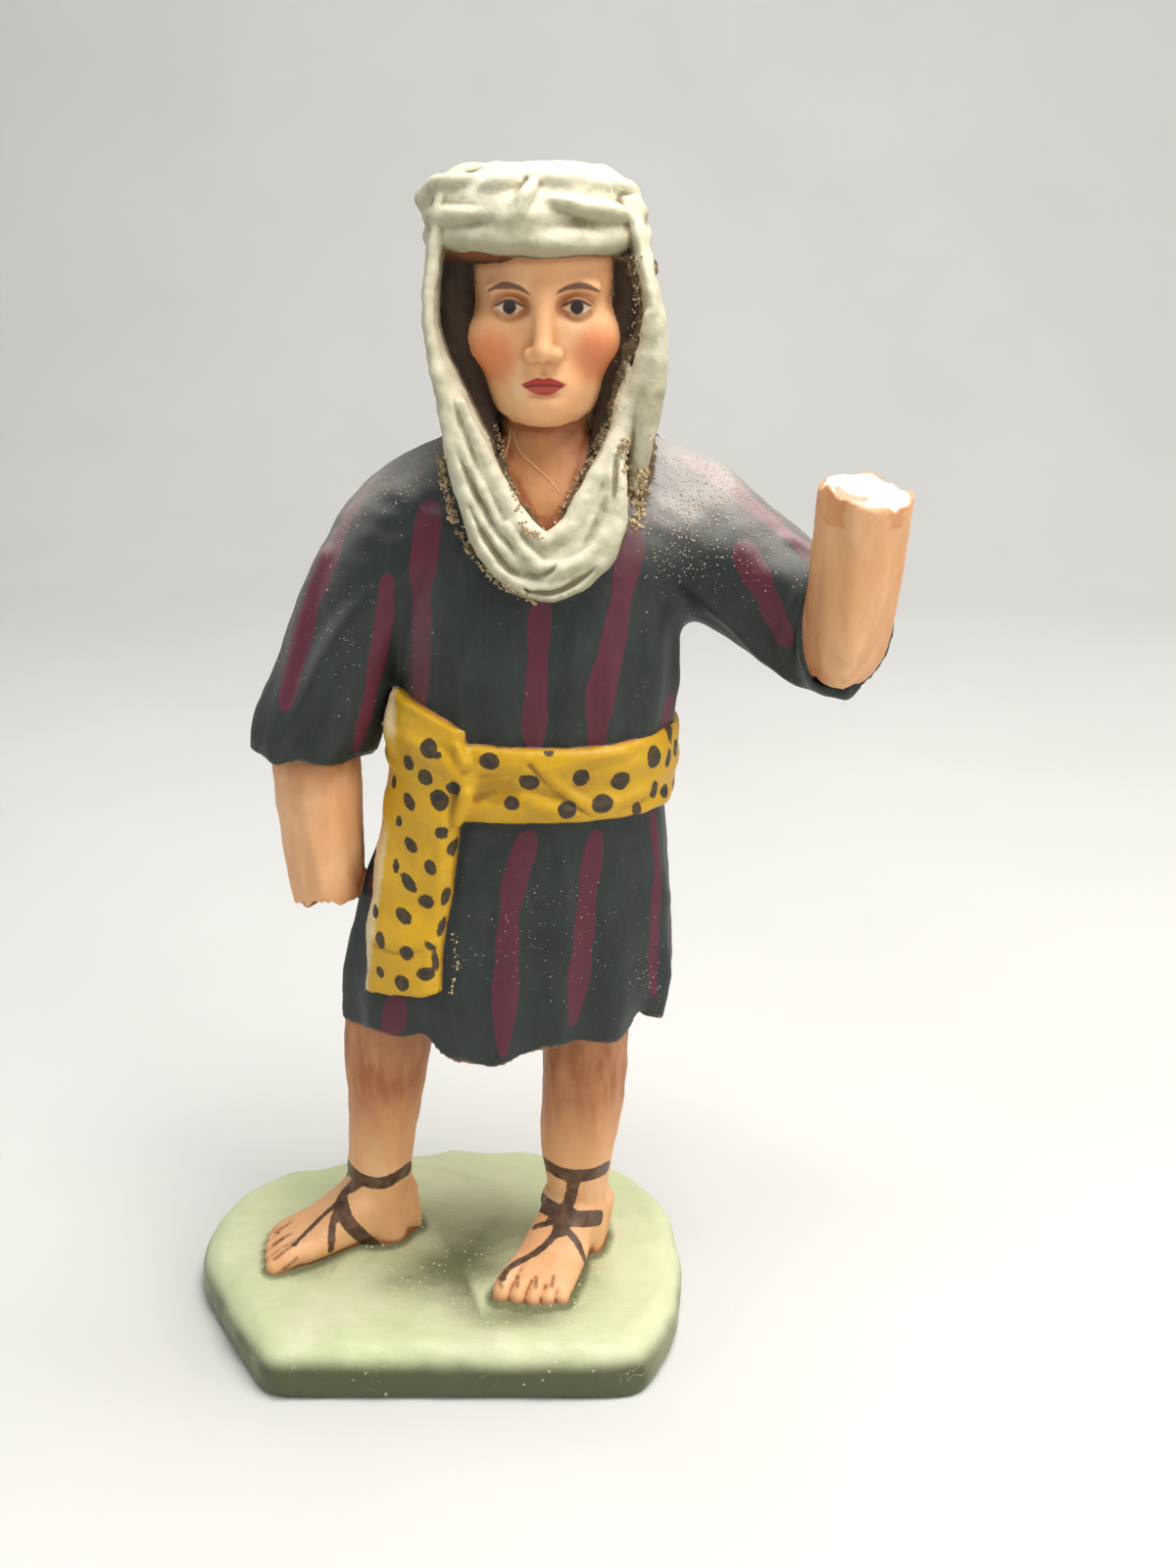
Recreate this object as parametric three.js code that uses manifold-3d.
// A painted clay nativity figure: a shepherd in a wound headscarf, a tunic and a
// sash, both hands broken off, made in one piece with the ground it stands on.
// Millimetres. +X is the figure's left, -Y its front and +Z is up. The origin lies
// on the underside of the ground slab.
import * as THREE from "three";
import { mergeVertices } from "three/addons/utils/BufferGeometryUtils.js";
import Module from "manifold-3d";

// Driving dimensions
const SLAB_TOP = 6.5; // thickness of the ground slab
const HEM = 36.8; // height of the tunic's hem
const WAIST = 68.8; // height of the sash's middle
const SASH_WIDE = 8.6; // breadth of the sash
const SASH_THICK = 1.2; // how far the sash stands off the tunic
const SHOULDER = 104; // height of the tunic's neckline at the back
const CROWN = 130; // top of the headscarf, the figure's full height
const CHIN = 105.6; // underside of the chin
const HEAD_HIGH = 22.4; // chin to the top of the skull, hidden in the scarf
const FACE_X = 13.3; // the face's middle line
const FACE_Y = -7.7; // the face's front, at the cheeks
const FOOT_REACH = 12.3; // ankle to the roots of the toes
const TUNIC_SQUARE = 2.2; // 2 is a true oval, higher is boxier
const CUFF_DEEP = 2; // how far a sleeve is hollowed at its mouth

const CLAY_COLOUR = 0xb98d62;

const X = new THREE.Vector3(1, 0, 0);
const Y = new THREE.Vector3(0, 1, 0);
const Z = new THREE.Vector3(0, 0, 1);

const wasm = await Module();
wasm.setup();

const { clamp, degToRad, lerp } = THREE.MathUtils;

// A bump of height 1 at `centre`, nearly gone two spreads away.
const bump = (value, centre, spread) => Math.exp(-(((value - centre) / spread) ** 2));

// The same round a circle: an angle in radians, its centre and spread in degrees.
function bumpAt(angle, centre, spread) {
  const gap = angle - degToRad(centre);
  return bump(Math.atan2(Math.sin(gap), Math.cos(gap)), 0, degToRad(spread));
}

function middle(ring) {
  return ring.reduce((sum, p) => sum.add(p), new THREE.Vector3()).divideScalar(ring.length);
}

// Joins a run of rings of points into one closed skin, with a fan at either end.
// A ring turns anticlockwise, seen from where the run is going.
function skin(rings) {
  const sides = rings[0].length;
  const points = [...rings.flat(), middle(rings[0]), middle(rings[rings.length - 1])];
  const last = (rings.length - 1) * sides;
  const [start, end] = [last + sides, last + sides + 1];
  const faces = [];
  for (let j = 0; j < sides; j++) {
    const next = (j + 1) % sides;
    for (let row = 0; row < last; row += sides) {
      faces.push(row + j, row + next, row + sides + next);
      faces.push(row + j, row + sides + next, row + sides + j);
    }
    faces.push(start, next, j, end, last + j, last + next);
  }
  const geometry = new THREE.BufferGeometry().setFromPoints(points);
  geometry.setIndex(faces);
  return geometry;
}

// Smooth values between rows of numbers, at t from 0 to 1.
function between(rows, t) {
  const along = clamp(t, 0, 1) * (rows.length - 1);
  const i = Math.min(Math.floor(along), rows.length - 2);
  const u = along - i;
  const row = (n) => rows[clamp(n, 0, rows.length - 1)];
  return rows[i].map((_, k) => {
    const [p0, p1, p2, p3] = [row(i - 1)[k], row(i)[k], row(i + 1)[k], row(i + 2)[k]];
    const bend = 2 * p0 - 5 * p1 + 4 * p2 - p3;
    const twist = 3 * p1 - p0 - 3 * p2 + p3;
    return 0.5 * (2 * p1 + (p2 - p0) * u + bend * u * u + twist * u ** 3);
  });
}

// Where an oval's edge is at an angle, and which way it faces there.
function onOval(angle, wide, deep, square) {
  const [c, s] = [Math.cos(angle), Math.sin(angle)];
  const swell = (Math.abs(c) ** square + Math.abs(s) ** square) ** (-1 / square);
  const place = new THREE.Vector2(c * wide, s * deep).multiplyScalar(swell);
  return [place, new THREE.Vector2(c / wide, s / deep).normalize()];
}

// One oval ring. `relief` pushes its points out, by the angle round the ring.
function ovalRing(centre, across, up, [wide, deep], { square, sides, relief }) {
  return Array.from({ length: sides }, (_, j) => {
    const angle = (2 * Math.PI * j) / sides;
    const [place, facing] = onOval(angle, wide, deep, square);
    place.addScaledVector(facing, relief(angle));
    return centre.clone().addScaledVector(across, place.x).addScaledVector(up, place.y);
  });
}

// Two rings that press a shallow hollow into an end: its rim, and its floor. The
// rim's breadth is a share of the way to the middle.
function hollow(ring, inward, rim, depth) {
  const SOFT_EDGE = 0.1; // how far the rim's inner edge is sunk
  const WALL_LEAN = 0.08; // how much further in the floor begins
  const centre = middle(ring);
  return [[rim, SOFT_EDGE], [rim + WALL_LEAN, depth]].map(([share, sink]) =>
    ring.map((p) => p.clone().lerp(centre, share).addScaledVector(inward, sink)),
  );
}

// Ovals strung along a line. A row is [x, y, z, wide, deep]: half sizes along
// `across` and at right angles to it. `jag` pushes the far end's edge along the
// line, and `mouth` is how deep that end is hollowed.
function limb(rows, options) {
  const { sides = 14, rings = 9, across = X, square = 2, jag, mouth = 0 } = options;
  const LOOK = 0.02; // the stretch that the line's heading is taken over
  const LIP = 0.16; // the breadth of the rim round the mouth
  const relief = options.relief ?? (() => 0);
  const place = (t) => new THREE.Vector3(...between(rows, t));
  const heading = (t) => place(t + LOOK).sub(place(t - LOOK)).normalize();
  const made = [];
  for (let i = 0; i < rings; i++) {
    const t = i / (rings - 1);
    const run = heading(t);
    const side = across.clone().projectOnPlane(run).normalize();
    const up = run.clone().cross(side);
    const half = between(rows, t).slice(3);
    const shape = { square, sides, relief: (angle) => relief(angle, t) };
    made.push(ovalRing(place(t), side, up, half, shape));
  }
  const [last, run] = [made[rings - 1], heading(1)];
  if (jag) {
    last.forEach((p, j) => p.addScaledVector(run, jag((2 * Math.PI * j) / sides)));
  }
  if (mouth) {
    made.push(...hollow(last, run.negate(), LIP, mouth));
  }
  return skin(made);
}

// A row of a table of levels at height z. A table's row is [z, x, y, wide, deep].
function levelAt(table, z) {
  const below = clamp(table.filter((row) => row[0] <= z).length, 1, table.length - 1) - 1;
  const share = (z - table[below][0]) / (table[below + 1][0] - table[below][0]);
  return between(table, (below + clamp(share, 0, 1)) / (table.length - 1));
}

// Level ovals one above the other, evenly spaced.
function levels(table, { rings, square = 2, sides, relief = () => 0 }) {
  const [low, high] = [table[0][0], table[table.length - 1][0]];
  return Array.from({ length: rings }, (_, i) => {
    const z = lerp(low, high, i / (rings - 1));
    const [, x, y, ...half] = levelAt(table, z);
    const shape = { square, sides, relief: (angle) => relief(angle, z) };
    return ovalRing(new THREE.Vector3(x, y, z), X, Y, half, shape);
  });
}

// An egg, with its half sizes along X, Y and Z.
function egg([x, y, z], [wide, deep, high], round = 8, rows = 5) {
  const geometry = new THREE.SphereGeometry(1, round, rows).rotateX(Math.PI / 2);
  return geometry.scale(wide, deep, high).translate(x, y, z);
}

// The ground: a slab with an uneven many-sided outline and a soft upper edge.
function ground() {
  const SIDES = [
    // the way a side faces in degrees, and how far out it lies
    [-90, 20.4], [-26, 30.2], [0, 28.8], [29, 29.4], [68, 25.8], [90, 23.2],
    [108, 23.8], [150, 29.8], [180, 29.8], [210, 26.2],
  ];
  const CRISP = 22; // higher makes sharper corners
  const PROFILE = [
    // height, and how far in from the outline
    [0, 0.7], [0.8, 0.1], [2.6, 0], [4.4, 0.3], [5.6, 1.1], [6.3, 2.4], [SLAB_TOP, 4.6],
  ];
  const AROUND = 40;
  const reach = (angle) => {
    const near = ([faces, away]) => Math.max(0, Math.cos(angle - degToRad(faces)) / away);
    return SIDES.reduce((sum, side) => sum + near(side) ** CRISP, 0) ** (-1 / CRISP);
  };
  const ring = ([z, inset]) =>
    Array.from({ length: AROUND }, (_, j) => {
      const angle = (2 * Math.PI * j) / AROUND;
      return new THREE.Vector3(reach(angle) - inset).applyAxisAngle(Z, angle).setZ(z);
    });
  return skin(PROFILE.map(ring));
}

// The legs, from inside the tunic down into the ground.
const RIGHT_LEG = [
  [-5.2, 2, 41, 4.8, 5.2],
  [-5.9, 2, 34, 5.1, 5.3],
  [-6.6, 2.3, 26, 4.4, 4.7],
  [-7.3, 2.8, 19.5, 3.9, 4.2],
  [-7.8, 3.3, 14, 3.8, 3.9],
  [-7.7, 3.5, 9, 3.8, 4.0],
  [-7.7, 3.5, 4, 3.8, 4.0],
];
const LEFT_LEG = [
  [17.2, 1.2, 41, 4.8, 5.2],
  [17.2, 1.2, 34, 4.9, 5.2],
  [16.9, 1.2, 26, 4.8, 5.0],
  [16.3, 1.2, 20, 4.4, 4.5],
  [16.3, 1.2, 14, 3.6, 3.8],
  [16.3, 1.2, 9, 3.7, 3.9],
  [16.3, 1.2, 4, 3.7, 3.9],
];
const leg = (rows) => limb(rows, { sides: 14, rings: 8 });

// A bare foot on the ground, from its ankle's place, the way it points in degrees
// and the side of its big toe (1 is to the left of the way it points).
function foot([x, y], pointing, inner) {
  const SOLE = 0.4; // how far it is sunk in the ground
  const STATIONS = [
    // distance from the ankle, half width, height
    [-4.5, 1.6, 2.8], [-4.0, 2.8, 4.6], [-1.5, 3.6, 7.6], [2.4, 3.6, 8.4],
    [5.0, 3.7, 6.3], [7.8, 4.1, 4.3], [10.4, 4.3, 3.1], [FOOT_REACH, 3.9, 2.3],
  ];
  const TOES = [
    // from the toes' roots, sideways, half length, half width, height
    [0.3, 3.1, 2.1, 1.3, 2.5],
    [0.6, 1.1, 1.8, 0.95, 2.1],
    [0.3, -0.6, 1.7, 0.9, 2.0],
    [-0.3, -2.1, 1.6, 0.85, 1.9],
    [-1.1, -3.4, 1.5, 0.8, 1.8],
  ];
  const ahead = X.clone().applyAxisAngle(Z, degToRad(pointing));
  const sideways = Y.clone().applyAxisAngle(Z, degToRad(pointing));
  const place = (u, w) =>
    new THREE.Vector3(x, y, 0).addScaledVector(ahead, u).addScaledVector(sideways, w * inner);
  const shape = { square: 2.3, sides: 12, relief: () => 0 };
  const sole = STATIONS.map(([u, half, high]) => {
    const centre = place(u, 0).setZ(SLAB_TOP + (high - SOLE) / 2);
    return ovalRing(centre, sideways, Z, [half, (high + SOLE) / 2], shape);
  });
  const toes = TOES.map(([u, w, long, wide, high]) => {
    const at = place(FOOT_REACH + u, w);
    const toe = egg([0, 0, 0], [long, wide, (high + SOLE) / 2], 6, 5);
    return toe.rotateZ(degToRad(pointing)).translate(at.x, at.y, SLAB_TOP + (high - SOLE) / 2);
  });
  return [skin(sole), ...toes];
}

// The tunic's level sections: [z, x, y, half width, half depth].
const TUNIC = [
  [HEM, 7.9, 1.0, 18.0, 10.2],
  [42, 8.3, 1.0, 18.5, 10.4],
  [48, 8.9, 1.0, 18.0, 10.2],
  [55, 9.7, 1.0, 16.9, 9.8],
  [62.5, 10.9, 0.9, 15.2, 9.3],
  [WAIST, 12.0, 0.8, 14.1, 8.9],
  [75, 12.2, 0.7, 14.6, 9.4],
  [82, 12.5, 0.6, 15.0, 9.7],
  [90, 12.9, 0.6, 15.2, 9.2],
  [96.5, 13.0, 0.8, 14.8, 8.0],
  [101, 13.0, 1.2, 13.0, 6.8],
  [SHOULDER, 13.0, 1.5, 9.4, 5.4],
];

// Flutes that deepen towards the hem, and gathers above the sash.
function tunicFolds(angle, z) {
  const low = clamp((WAIST - z) / (WAIST - HEM), 0, 1) ** 1.3;
  const flutes = 0.5 * Math.cos(11 * angle + 0.6) + 0.3 * Math.cos(17 * angle + 2.1);
  const gathers = 0.35 * Math.cos(14 * angle + 1) * bump(z, WAIST + 6.5, 4.5);
  return low * flutes + gathers;
}

// How far the hem is lifted round the tunic: a notch in front, right of the middle
// line, and a low lobe beside it.
function hemLift(angle) {
  const notch = 1.5 * bumpAt(angle, -118, 8);
  const lobe = -2.5 * bumpAt(angle, -98, 14);
  const corner = 2.2 * bumpAt(angle, -29, 9);
  return 1.3 + notch + lobe + corner + 0.3 * Math.cos(5 * angle);
}

function tunic() {
  const SIDES = 46;
  const LIFTED = 9; // the lift fades out this high above the hem
  const HEM_THICK = 0.1; // the hem's breadth, as a share of the way in
  const HEM_DEEP = 2.2; // how far the tunic is hollowed from below
  const rings = levels(TUNIC, {
    rings: 18, sides: SIDES, square: TUNIC_SQUARE, relief: tunicFolds,
  });
  for (const ring of rings) {
    const share = clamp(1 - (ring[0].z - HEM) / LIFTED, 0, 1);
    ring.forEach((p, j) => {
      p.z += share * hemLift((2 * Math.PI * j) / SIDES);
    });
  }
  return [skin([...hollow(rings[0], Z, HEM_THICK, HEM_DEEP).reverse(), ...rings])];
}

// A point on the tunic at an angle and height, standing `off` it.
function onTunic(angle, z, off) {
  const [, x, y, wide, deep] = levelAt(TUNIC, z);
  const [place, facing] = onOval(angle, wide, deep, TUNIC_SQUARE);
  place.addScaledVector(facing, off);
  return new THREE.Vector3(x + place.x, y + place.y, z);
}

// The same from a place across the front.
function onTunicFront(across, z, off) {
  const [, x, , wide] = levelAt(TUNIC, z);
  const FRONT = 0.98; // how far round to the sides the front goes
  const u = clamp((across - x) / wide, -FRONT, FRONT);
  const back = (1 - Math.abs(u) ** TUNIC_SQUARE) ** (1 / TUNIC_SQUARE);
  return onTunic(Math.atan2(-back, u), z, off);
}

// The sash: its band round the waist, and the end that hangs in front.
function sash() {
  const SIDES = 36;
  const BULGE = [
    // place across the band from -1 to 1, and share of the thickness
    [-1, -0.5], [-0.97, 0.7], [-0.55, 1], [0, 1.05], [0.6, 1], [0.97, 0.75], [1, -0.5],
  ];
  const band = BULGE.map(([across, share]) =>
    Array.from({ length: SIDES }, (_, j) => {
      const angle = (2 * Math.PI * j) / SIDES;
      return onTunic(angle, WAIST + (across * SASH_WIDE) / 2, share * SASH_THICK);
    }),
  );
  const TAIL = [
    // height, left edge, right edge, thickness
    [44.4, -6.6, 1.6, 1.5],
    [50, -6.3, 1.9, 1.6],
    [56, -5.2, 3.0, 1.6],
    [63, -4.1, 3.9, 1.9],
    [70, -3.0, 4.8, 2.4],
    [76, -2.3, 5.0, 1.6],
  ];
  const ACROSS = 4;
  const STEPS = 9;
  const THIN_EDGE = 0.6; // the edge's share of the thickness
  const SUNK = 1; // how far the tail's back lies inside the tunic
  const tail = Array.from({ length: STEPS }, (_, i) => {
    const [z, left, right, thick] = between(TAIL, i / (STEPS - 1));
    const steps = Array.from({ length: ACROSS + 1 }, (_, j) => j / ACROSS);
    const edge = (s) => (s === 0 || s === 1 ? THIN_EDGE : 1);
    const outer = steps.map((s) => onTunicFront(lerp(left, right, s), z, thick * edge(s)));
    const inner = steps.map((s) => onTunicFront(lerp(left, right, s), z, -SUNK));
    return [...outer, ...inner.reverse()];
  });
  return [skin(band), skin(tail)];
}

// The figure's right arm: a wide short sleeve, and the stump of the forearm.
function rightArm() {
  const SLEEVE = [
    [5.0, 1.2, 98.2, 5.4, 5.2],
    [-0.6, 0.9, 95.2, 6.2, 6.1],
    [-4.6, 0.6, 89.6, 6.4, 6.4],
    [-7.9, 0.3, 82.8, 6.3, 6.2],
    [-10.2, 0.0, 76.2, 6.3, 6.3],
    [-11.9, -0.1, 71.9, 6.4, 6.4],
    [-12.2, -0.1, 70.0, 6.1, 6.1],
  ];
  const STUMP = [
    [-12.0, -0.3, 74, 4.4, 4.1],
    [-12.0, -0.4, 68, 4.6, 4.2],
    [-11.8, -0.5, 62.5, 4.4, 4.1],
    [-11.5, -0.6, 57, 4.1, 3.9],
    [-11.2, -0.7, 52.8, 3.8, 3.6],
  ];
  const dents = (angle, t) => 0.3 * Math.cos(2 * angle + 4 * t) + 0.15 * Math.cos(5 * angle - 3 * t);
  const flat = (angle) => 0.22 * Math.cos(4 * angle + 0.5);
  const broken = (angle) => 0.5 * Math.cos(2 * angle) + 0.4 * Math.cos(5 * angle + 1);
  return [
    limb(SLEEVE, { sides: 18, rings: 9, across: Y, relief: dents, mouth: CUFF_DEEP }),
    limb(STUMP, { sides: 12, rings: 6, relief: flat, jag: broken }),
  ];
}

// The figure's left arm: the sleeve of a raised arm, which opens to the front at
// the elbow, and the stump of the forearm that stands up out of it.
function leftArm() {
  const SLEEVE = [
    [20.5, 1.0, 97.4, 6.4, 5.4],
    [26.6, 0.6, 93.8, 8.2, 6.4],
    [31.4, -0.3, 91.2, 7.4, 6.3],
    [36.0, -1.5, 88.4, 6.8, 6.1],
    [39.9, -3.2, 86.0, 6.6, 5.8],
    [42.6, -5.6, 85.0, 6.8, 5.6],
    [43.6, -8.0, 84.9, 6.8, 5.4],
  ];
  const STUMP = [
    [43.0, -7.6, 80.9, 3.2, 2.8],
    [43.5, -8.9, 84, 4.0, 3.7],
    [44.0, -10.2, 90, 4.3, 4.0],
    [44.3, -11.6, 96, 4.4, 4.1],
    [44.4, -12.8, 100.4, 4.4, 4.1],
  ];
  const dents = (angle, t) => 0.3 * Math.cos(3 * angle + 5 * t);
  const flat = (angle) => 0.22 * Math.cos(4 * angle + 0.9);
  const broken = (angle) => 0.9 * Math.cos(angle - Math.PI) + 0.3 * Math.cos(4 * angle);
  return [
    limb(SLEEVE, { sides: 18, rings: 10, across: Z, relief: dents, mouth: CUFF_DEEP }),
    limb(STUMP, { sides: 12, rings: 6, relief: flat, jag: broken }),
  ];
}

// The bare neck and the chest in the opening of the tunic.
function neck() {
  const ROWS = [
    [13.6, -1.6, 92, 7.6, 6.2],
    [13.5, -1.2, 96, 7.0, 6.4],
    [13.4, 0.2, 100.5, 5.6, 5.8],
    [13.3, 1.2, 105, 5.0, 5.4],
    [13.3, 1.4, 110, 5.0, 5.4],
  ];
  return limb(ROWS, { sides: 14, rings: 6 });
}

// The head, with its face drawn up from thirds and halves: the eyes halfway down
// the head, and the brow, the nose's foot and the chin a third of the face apart.
function head() {
  const EYES = CHIN + HEAD_HIGH / 2;
  const THIRD = HEAD_HIGH * 0.28;
  const NOSE_FOOT = CHIN + THIRD;
  const BROW = CHIN + 2 * THIRD;
  const MOUTH = CHIN + THIRD * 0.64;
  const EYE_APART = 3.4; // from the middle line
  const SKULL = [
    [CHIN, FACE_X, -3.4, 3.4, 3.2],
    [CHIN + 1.2, FACE_X, -2.8, 4.8, 4.5],
    [CHIN + 3.4, FACE_X, -1.7, 6.0, 6.0],
    [CHIN + 6, FACE_X, -0.5, 7.0, 7.3],
    [CHIN + 9, FACE_X, 0.3, 7.7, 8.1],
    [CHIN + 12, FACE_X, 0.7, 8.0, 8.4],
    [CHIN + 15, FACE_X, 0.9, 8.1, 8.6],
    [CHIN + 18, FACE_X, 1.2, 7.8, 8.4],
    [CHIN + 21, FACE_X, 1.4, 6.2, 7.0],
    [CHIN + HEAD_HIGH, FACE_X, 1.5, 3.2, 3.8],
  ];
  const sockets = (angle, z) => {
    const across = SKULL[5][3] * Math.cos(angle);
    const pair = bump(Math.abs(across), EYE_APART, 1.9) * bump(z, EYES, 1.5);
    return Math.sin(angle) < 0 ? -0.75 * pair : 0;
  };
  const pairOf = (make) => [make(FACE_X - EYE_APART), make(FACE_X + EYE_APART)];
  const NOSE = [
    [FACE_X, FACE_Y + 0.1, BROW, 1.1, 0.5],
    [FACE_X, FACE_Y - 0.7, EYES - 1, 0.9, 1.0],
    [FACE_X, FACE_Y - 1.1, NOSE_FOOT + 0.8, 1.4, 1.3],
    [FACE_X, FACE_Y - 0.4, NOSE_FOOT, 1.1, 0.8],
  ];
  return [
    skin(levels(SKULL, { rings: 13, sides: 22, relief: sockets })),
    limb(NOSE, { sides: 7, rings: 6 }),
    egg([FACE_X, FACE_Y + 0.6, MOUTH + 0.4], [2.3, 1.2, 0.5]),
    egg([FACE_X, FACE_Y + 0.7, MOUTH - 0.5], [1.9, 1.2, 0.6]),
    egg([FACE_X, FACE_Y + 1.9, CHIN + 1.7], [2.3, 1.9, 1.6]),
    ...pairOf((x) => egg([x, FACE_Y + 1.1, EYES], [1.5, 0.9, 0.8])),
    ...pairOf((x) => egg([x, FACE_Y + 1.0, BROW], [2.2, 0.9, 0.6])),
  ];
}

// The headscarf: a wound band on the crown, a fall on either side of the face, one
// end looped under the chin, and the cloth that hangs behind.
function headscarf() {
  const BAND = [
    [121.6, 12.7, 1.6, 9.6, 9.6],
    [122.6, 12.4, 1.4, 10.9, 11.0],
    [124.6, 12.3, 1.3, 11.1, 11.3],
    [126.9, 12.1, 1.4, 10.9, 10.9],
    [128.7, 12.1, 1.7, 9.3, 9.2],
    [CROWN - 0.4, 12.4, 2.0, 6.2, 6.2],
    [CROWN, 12.6, 2.0, 3.0, 3.0],
  ];
  const wound = (angle, z) => {
    const roll = 0.35 * Math.cos(1.6 * (z - 121.6) + 2 * angle);
    return roll + 0.3 * Math.cos(7 * angle + 0.5 * z) + 0.5 * bumpAt(angle, 186, 14);
  };
  const CLOTH = [
    [97, 13.4, 5.2, 8.2, 4.2],
    [100, 13.3, 4.6, 9.6, 5.6],
    [104.5, 13.5, 4.0, 10.6, 6.5],
    [110, 13.7, 3.5, 11.4, 7.3],
    [116, 13.4, 3.2, 11.3, 8.2],
    [121, 12.8, 2.8, 10.8, 8.8],
    [124, 12.5, 2.6, 10.4, 9.0],
  ];
  const hanging = (angle, z) => 0.35 * Math.cos(10 * angle) * clamp((122 - z) / 15, 0, 1);
  const RIGHT_FALL = [
    // [x, y, z, half depth, half width]
    [4.2, -1.6, 123, 4.6, 2.3],
    [3.4, -2.2, 118, 4.5, 2.0],
    [3.6, -2.8, 112.5, 4.3, 2.1],
    [4.9, -3.4, 107.5, 4.0, 2.3],
    [6.4, -5.2, 102.6, 3.0, 2.3],
    [7.8, -7.0, 98.4, 2.0, 2.4],
    [9.8, -8.1, 94.4, 1.6, 2.6],
    [13.3, -8.7, 92.0, 1.5, 2.8],
    [17.0, -8.2, 94.2, 1.6, 2.7],
    [18.6, -7.0, 98.2, 1.9, 2.5],
    [19.8, -5.4, 102.4, 2.4, 2.1],
    [21.2, -4.0, 106, 2.4, 1.6],
  ];
  const LEFT_FALL = [
    [21.9, -1.6, 123, 4.6, 2.2],
    [22.6, -2.2, 118.5, 4.5, 2.1],
    [23.3, -2.7, 113, 4.4, 2.5],
    [22.6, -3.2, 107.5, 4.2, 2.4],
    [22.2, -3.6, 103, 3.6, 2.0],
    [21.8, -4.2, 99.6, 2.0, 1.2],
  ];
  const ridges = (angle, t) => 0.22 * Math.cos(3 * angle + 14 * t);
  return [
    skin(levels(BAND, { rings: 9, sides: 30, relief: wound })),
    skin(levels(CLOTH, { rings: 7, sides: 26, relief: hanging })),
    limb(RIGHT_FALL, { sides: 9, rings: 23, across: Y, relief: ridges, square: 2.4 }),
    limb(LEFT_FALL, { sides: 9, rings: 10, across: Y, relief: ridges, square: 2.4 }),
  ];
}

// Turns a closed skin into a solid that can be joined.
function solid(geometry) {
  geometry.deleteAttribute("normal");
  geometry.deleteAttribute("uv");
  const merged = mergeVertices(geometry, 1e-4);
  const vertProperties = new Float32Array(merged.attributes.position.array);
  const triVerts = new Uint32Array(merged.index.array);
  return new wasm.Manifold(new wasm.Mesh({ numProp: 3, vertProperties, triVerts }));
}

function joined(geometries) {
  const whole = geometries.map(solid).reduce((sum, next) => sum.add(next));
  const { vertProperties, triVerts } = whole.getMesh();
  const geometry = new THREE.BufferGeometry();
  geometry.setAttribute("position", new THREE.BufferAttribute(vertProperties, 3));
  geometry.setIndex(new THREE.BufferAttribute(triVerts, 1));
  geometry.computeVertexNormals();
  return geometry;
}

const shepherd = new THREE.Mesh(
  joined([
    ground(),
    leg(RIGHT_LEG),
    leg(LEFT_LEG),
    ...foot([-7.7, 3.5], 205, 1),
    ...foot([16.3, 1.2], 246, -1),
    ...tunic(),
    ...sash(),
    ...rightArm(),
    ...leftArm(),
    neck(),
    ...head(),
    ...headscarf(),
  ]),
  new THREE.MeshStandardMaterial({ color: CLAY_COLOUR, roughness: 0.75, metalness: 0 }),
);
shepherd.name = "shepherd_figure";

const figure = new THREE.Group();
figure.add(shepherd);

export default figure;
